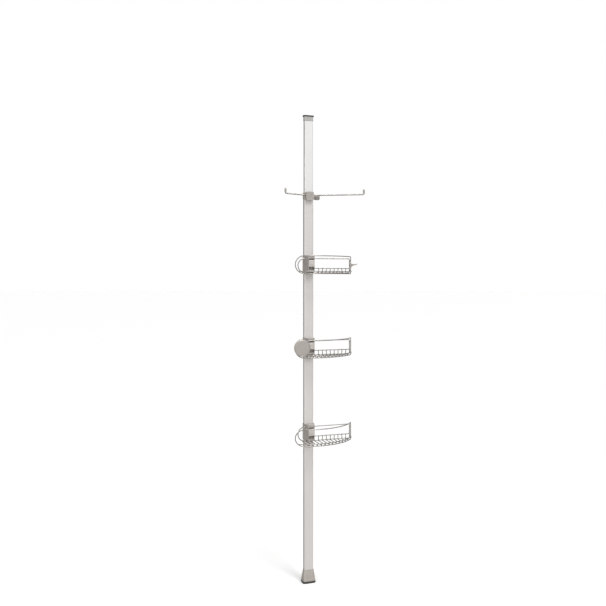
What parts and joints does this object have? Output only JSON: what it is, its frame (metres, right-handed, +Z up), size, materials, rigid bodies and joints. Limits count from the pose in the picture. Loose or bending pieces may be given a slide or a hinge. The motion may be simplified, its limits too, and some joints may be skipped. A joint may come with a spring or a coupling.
{
  "type": "tension pole shower caddy",
  "caption": "Floor-to-ceiling telescopic pole with sliding wire shelves, quick-release levers, a two-armed hook bar, a razor hook and a small round mirror.",
  "frame": {"origin": "centre of the floor pad's underside", "axes": "+Z up along the pole, +X along the shelves towards their end posts, -Y out of the shelves' open front"},
  "size_m": [0.437, 0.197, 2.376],
  "materials": {
    "anodised_tube": "satin anodised, fine lengthwise grain",
    "anodised_tube_light": "satin anodised, lighter than the outer tube",
    "satin_housing": "satin warm grey",
    "cap_grey": "satin grey",
    "lever_metal": "brushed",
    "wire_steel": "polished stainless wire",
    "screw_steel": "plain",
    "spring_steel": "drawn",
    "brass": "turned",
    "rubber": "matt black",
    "black_plastic": "matt black",
    "mirror": "polished"
  },
  "bodies": {
    "root": {"floor_pad": "rubber", "foot_housing": "satin_housing", "foot_plug": "black_plastic", "foot_screw": "screw_steel", "outer_tube": "anodised_tube", "lock_collar": "satin_housing", "lock_insert": "brass", "hook_bar": "wire_steel", "hook_tips": "satin_housing"},
    "lock_knob": {"lock_knob": "satin_housing", "lock_screw": "screw_steel"},
    "mast": {"inner_tube": "anodised_tube_light", "inner_shoe": "black_plastic", "spring_seat": "black_plastic", "ceiling_spring": "spring_steel"},
    "ceiling_end": {"guide_rod": "screw_steel", "top_cap": "cap_grey", "ceiling_pad": "rubber"},
    "upper_shelf": {"upper_bracket": "satin_housing", "upper_rail_clip": "black_plastic", "upper_clip_screws": "screw_steel", "upper_grip_pad": "rubber", "upper_lever_pin": "screw_steel", "upper_lever_spring": "spring_steel", "upper_back_wire": "wire_steel", "upper_mid_rail": "wire_steel", "upper_front_wire": "wire_steel", "upper_guard_rail": "wire_steel", "upper_floor_wires": "wire_steel", "razor_hook": "satin_housing"},
    "upper_lever": {"upper_lever": "lever_metal"},
    "middle_shelf": {"middle_bracket": "satin_housing", "middle_rail_clip": "black_plastic", "middle_clip_screws": "screw_steel", "middle_grip_pad": "rubber", "middle_lever_pin": "screw_steel", "middle_lever_spring": "spring_steel", "middle_back_wire": "wire_steel", "middle_mid_rail": "wire_steel", "middle_front_wire": "wire_steel", "middle_guard_rail": "wire_steel", "middle_floor_wires": "wire_steel", "mirror_clip": "satin_housing", "mirror_pin": "screw_steel"},
    "middle_lever": {"middle_lever": "lever_metal"},
    "lower_shelf": {"lower_bracket": "satin_housing", "lower_rail_clip": "black_plastic", "lower_clip_screws": "screw_steel", "lower_grip_pad": "rubber", "lower_lever_pin": "screw_steel", "lower_lever_spring": "spring_steel", "lower_back_wire": "wire_steel", "lower_mid_rail": "wire_steel", "lower_front_wire": "wire_steel", "lower_guard_rail": "wire_steel", "lower_floor_wires": "wire_steel"},
    "lower_lever": {"lower_lever": "lever_metal"},
    "mirror": {"mirror_frame": "satin_housing", "mirror_glass": "mirror"}
  },
  "joints": [
    {"name": "lock_turn", "type": "hinge", "parent": "root", "child": "lock_knob", "pos_m": [0.0325, 0, 1.959], "axis": [1, 0, 0], "range_deg": [0, 270]},
    {"name": "pole_extend", "type": "slide", "parent": "root", "child": "mast", "axis": [0, 0, 1], "range_m": [-0.35, 0.25]},
    {"name": "ceiling_press", "type": "slide", "parent": "mast", "child": "ceiling_end", "axis": [0, 0, 1], "range_m": [-0.012, 0], "stiffness_N_per_m": 4000, "springref_m": 0.001, "deforming": ["ceiling_spring"]},
    {"name": "upper_shelf_height", "type": "slide", "parent": "root", "child": "upper_shelf", "axis": [0, 0, 1], "range_m": [-0.15, 0.25]},
    {"name": "upper_lever_flip", "type": "hinge", "parent": "upper_shelf", "child": "upper_lever", "pos_m": [0, -0.042, 1.633], "axis": [-1, 0, 0], "range_deg": [0, 50], "stiffness_Nm_per_rad": 0.05, "springref_deg": -11.46},
    {"name": "middle_shelf_height", "type": "slide", "parent": "root", "child": "middle_shelf", "axis": [0, 0, 1], "range_m": [-0.15, 0.15]},
    {"name": "middle_lever_flip", "type": "hinge", "parent": "middle_shelf", "child": "middle_lever", "pos_m": [0, -0.042, 1.217], "axis": [-1, 0, 0], "range_deg": [0, 50], "stiffness_Nm_per_rad": 0.05, "springref_deg": -11.46},
    {"name": "lower_shelf_height", "type": "slide", "parent": "root", "child": "lower_shelf", "axis": [0, 0, 1], "range_m": [-0.55, 0.15]},
    {"name": "lower_lever_flip", "type": "hinge", "parent": "lower_shelf", "child": "lower_lever", "pos_m": [0, -0.042, 0.782], "axis": [-1, 0, 0], "range_deg": [0, 50], "stiffness_Nm_per_rad": 0.05, "springref_deg": -11.46},
    {"name": "mirror_tilt", "type": "hinge", "parent": "middle_shelf", "child": "mirror", "pos_m": [-0.088, -0.16, 1.208], "axis": [1, 0, 0], "range_deg": [-8, 14]}
  ]
}
